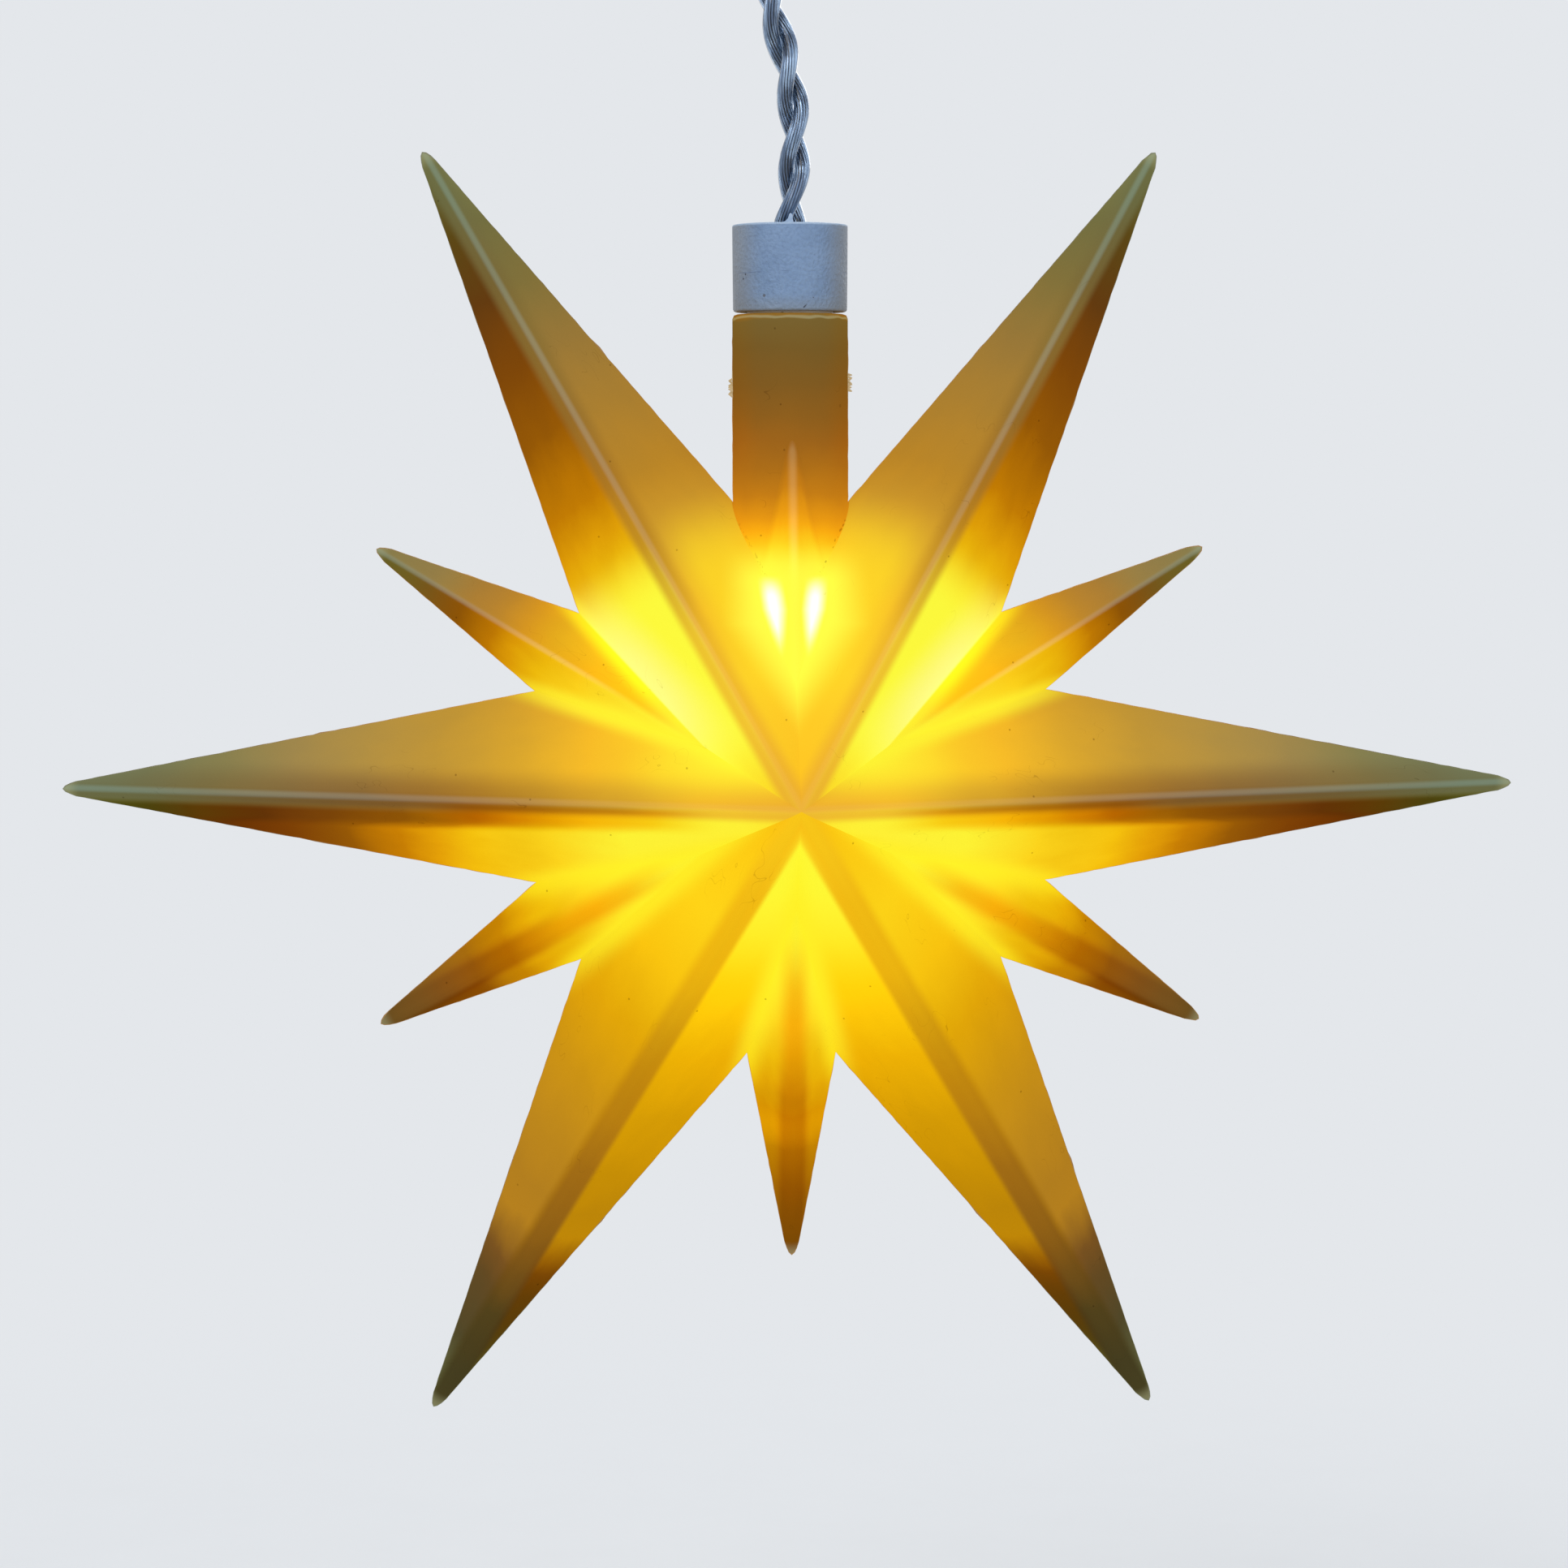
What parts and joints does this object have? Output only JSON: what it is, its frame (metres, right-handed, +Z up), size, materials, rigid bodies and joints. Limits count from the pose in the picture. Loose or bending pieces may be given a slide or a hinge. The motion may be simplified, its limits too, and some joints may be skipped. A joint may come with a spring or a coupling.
{
  "type": "led christmas star",
  "caption": "Hanging hollow plastic star with long and short pointed arms, lit by one LED in a capped lamp holder on a twisted low-voltage lead with a screw-nut plug.",
  "frame": {"origin": "centre of the mating face of the lead's plug, which the star hangs from", "axes": "+Z up along the lead, +X across the star, the star faces -Y"},
  "size_m": [0.12, 0.0506, 0.161],
  "materials": {
    "yellow_plastic": "translucent yellow blow-moulded plastic, satin, glowing from inside",
    "white_plastic": "cool white moulded plastic with a faint texture",
    "grey_rubber": "matte soft rubber",
    "clear_epoxy": "clear cast epoxy",
    "tinned_steel": "tinned lead frame",
    "phosphor": "yellow phosphor over the chip, lit",
    "solder": "soft solder",
    "resistor_lacquer": "beige lacquer with colour bands",
    "heat_shrink": "black heat-shrink tube",
    "clear_vinyl": "clear vinyl insulation over stranded tinned copper",
    "milky_vinyl": "milky translucent vinyl",
    "brass": "bare brass"
  },
  "bodies": {
    "lead": {"holder_cap": "white_plastic", "cable_seal": "grey_rubber", "led_carrier": "white_plastic", "led_retaining_ring": "white_plastic", "led_lens": "clear_epoxy", "led_anode_lead": "tinned_steel", "led_cathode_lead": "tinned_steel", "led_chip": "phosphor", "series_resistor": "resistor_lacquer", "feed_wire_positive": "clear_vinyl", "feed_wire_negative": "clear_vinyl", "solder_joint_anode": "solder", "solder_joint_feed": "solder", "solder_joint_cathode": "solder", "sleeve_positive": "heat_shrink", "sleeve_negative": "heat_shrink", "lead_cord": "clear_vinyl", "strain_relief": "milky_vinyl", "plug_body": "milky_vinyl", "contact_insert": "white_plastic", "contact_socket_positive": "brass", "contact_socket_negative": "brass", "plug_wire_positive": "clear_vinyl", "plug_wire_negative": "clear_vinyl", "plug_seal_ring": "grey_rubber"},
    "neck_ring": {"neck_seal_ring": "grey_rubber"},
    "star": {"star_shell": "yellow_plastic"},
    "nut": {"coupling_nut": "white_plastic"}
  },
  "joints": [
    {"name": "star_turn", "type": "hinge", "parent": "lead", "child": "neck_ring", "pos_m": [0, 0, -0.0729], "axis": [0, 0, 1], "continuous": true},
    {"name": "star_pull_off", "type": "slide", "parent": "neck_ring", "child": "star", "axis": [0, 0, -1], "range_m": [0, 0.0255]},
    {"name": "nut_turn", "type": "hinge", "parent": "lead", "child": "nut", "pos_m": [0, 0, -0.0052], "axis": [0, 0, 1], "continuous": true}
  ]
}
